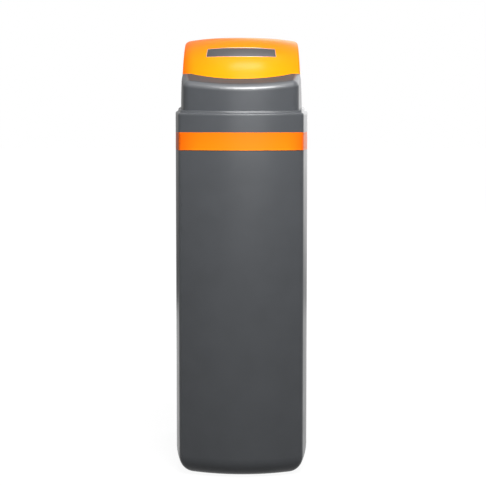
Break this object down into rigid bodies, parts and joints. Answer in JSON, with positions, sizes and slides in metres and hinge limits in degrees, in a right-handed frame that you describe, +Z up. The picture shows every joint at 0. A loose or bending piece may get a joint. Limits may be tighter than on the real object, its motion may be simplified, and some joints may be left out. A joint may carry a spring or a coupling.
{
  "type": "water filter",
  "caption": "Cabinet water filter: a salt tub round a resin vessel, with a motor-driven control valve, a bypass, a brine well and a hinged lid.",
  "frame": {"origin": "middle of the footprint's overall width and depth, on the floor", "axes": "+Z up; the bowed front faces -Y; +X to the right as seen from behind the front face, that is the viewer's right when looking at the front"},
  "size_m": [0.35, 0.5, 1.13],
  "materials": {
    "shell": "fine satin texture",
    "trim": "gloss",
    "lid_skin": "gloss",
    "plate": "bare satin",
    "vessel": "wound glass fibre, lacquered",
    "black": "glass filled, moulded",
    "white": "moulded",
    "gravel": "loose quartz, shown as one bed",
    "resin": "loose beads, shown as one bed",
    "steel": "plain",
    "coated": "low-friction coating",
    "seal": "moulded",
    "gear": "natural",
    "brass": "machined",
    "board": "solder mask",
    "screen": "polished",
    "key": "satin",
    "handle": "moulded",
    "line": "translucent tube, shown solid",
    "float": "closed foam"
  },
  "bodies": {
    "cabinet": {"salt_tub": "shell", "trim_band": "trim", "top_deck": "shell", "hood": "shell", "rear_cover": "shell", "hinge_pins": "steel", "pressure_vessel": "vessel", "vessel_boot": "black", "gravel_bed": "gravel", "resin_bed": "resin", "bottom_strainer": "white", "riser_tube": "white", "top_basket": "white", "valve_body": "black", "neck_seal": "seal", "seal_stack": "seal", "barrel_plug": "black", "drive_bracket": "black", "reduction_axle": "steel", "drive_motor": "steel", "circuit_board": "board", "display": "screen", "valve_cover": "black", "injector": "white", "injector_cap": "black", "drain_elbow": "black", "drain_nut": "black", "brine_elbow": "black", "brine_nut": "white", "brine_line": "line", "turbine_cage": "white", "bypass_body": "black", "port_clips": "steel", "inlet_tailpiece": "brass", "outlet_tailpiece": "brass", "inlet_union_nut": "black", "outlet_union_nut": "black", "lead_grommet": "seal", "brine_well": "white", "brine_valve": "white", "draw_tube": "white", "air_check": "white", "overflow_stub": "black", "overflow_nut": "black"},
    "lid": {"lid": "lid_skin", "name_plate": "plate"},
    "main_gear": {"main_gear": "gear"},
    "piston": {"piston": "coated"},
    "reduction": {"reduction_gear": "gear"},
    "pinion": {"motor_pinion": "brass"},
    "turbine": {"meter_turbine": "white"},
    "inlet_handle": {"inlet_handle": "handle"},
    "outlet_handle": {"outlet_handle": "handle"},
    "button_1": {"button_1": "key"},
    "button_2": {"button_2": "key"},
    "button_3": {"button_3": "key"},
    "button_4": {"button_4": "key"},
    "float": {"float": "float", "float_rod": "white"},
    "well_cap": {"well_cap": "white"}
  },
  "joints": [
    {"name": "lid_hinge", "type": "hinge", "parent": "cabinet", "child": "lid", "pos_m": [0, 0.09, 1.121], "axis": [-1, 0, 0], "range_deg": [0, 75]},
    {"name": "main_gear_turn", "type": "hinge", "parent": "cabinet", "child": "main_gear", "pos_m": [0, 0.006, 0.9953], "axis": [0, 1, 0], "range_deg": [0, 360]},
    {"name": "piston_slide", "type": "slide", "parent": "cabinet", "child": "piston", "axis": [0, 1, 0], "range_m": [0, 0.02801]},
    {"name": "reduction_turn", "type": "hinge", "parent": "cabinet", "child": "reduction", "pos_m": [0.022, 0, 1.0334], "axis": [0, 1, 0], "range_deg": [-1621, 0]},
    {"name": "pinion_turn", "type": "hinge", "parent": "cabinet", "child": "pinion", "pos_m": [0.007, 0, 1.05939], "axis": [0, 1, 0], "range_deg": [0, 6481]},
    {"name": "turbine_spin", "type": "hinge", "parent": "cabinet", "child": "turbine", "pos_m": [0.044, 0.134, 0.9953], "axis": [0, 1, 0], "continuous": true},
    {"name": "inlet_handle_turn", "type": "hinge", "parent": "cabinet", "child": "inlet_handle", "pos_m": [-0.044, 0.174, 1.0353], "axis": [0, 0, -1], "range_deg": [0, 90]},
    {"name": "outlet_handle_turn", "type": "hinge", "parent": "cabinet", "child": "outlet_handle", "pos_m": [0.044, 0.174, 1.0353], "axis": [0, 0, 1], "range_deg": [0, 90]},
    {"name": "button_1_press", "type": "slide", "parent": "cabinet", "child": "button_1", "axis": [0, 1, 0], "range_m": [0, 0.001], "stiffness_N_per_m": 300},
    {"name": "button_2_press", "type": "slide", "parent": "cabinet", "child": "button_2", "axis": [0, 1, 0], "range_m": [0, 0.001], "stiffness_N_per_m": 300},
    {"name": "button_3_press", "type": "slide", "parent": "cabinet", "child": "button_3", "axis": [0, 1, 0], "range_m": [0, 0.001], "stiffness_N_per_m": 300},
    {"name": "button_4_press", "type": "slide", "parent": "cabinet", "child": "button_4", "axis": [0, 1, 0], "range_m": [0, 0.001], "stiffness_N_per_m": 300},
    {"name": "float_lift", "type": "slide", "parent": "cabinet", "child": "float", "axis": [0, 0, 1], "range_m": [0, 0.02]},
    {"name": "well_cap_lift", "type": "slide", "parent": "cabinet", "child": "well_cap", "axis": [0, 0, 1], "range_m": [0, 0.025]}
  ],
  "couplings": [
    {"joint": "piston_slide", "follows": "main_gear_turn", "m_per_rad": 0.0044563},
    {"joint": "reduction_turn", "follows": "main_gear_turn", "ratio": -4.5},
    {"joint": "pinion_turn", "follows": "main_gear_turn", "ratio": 18}
  ]
}
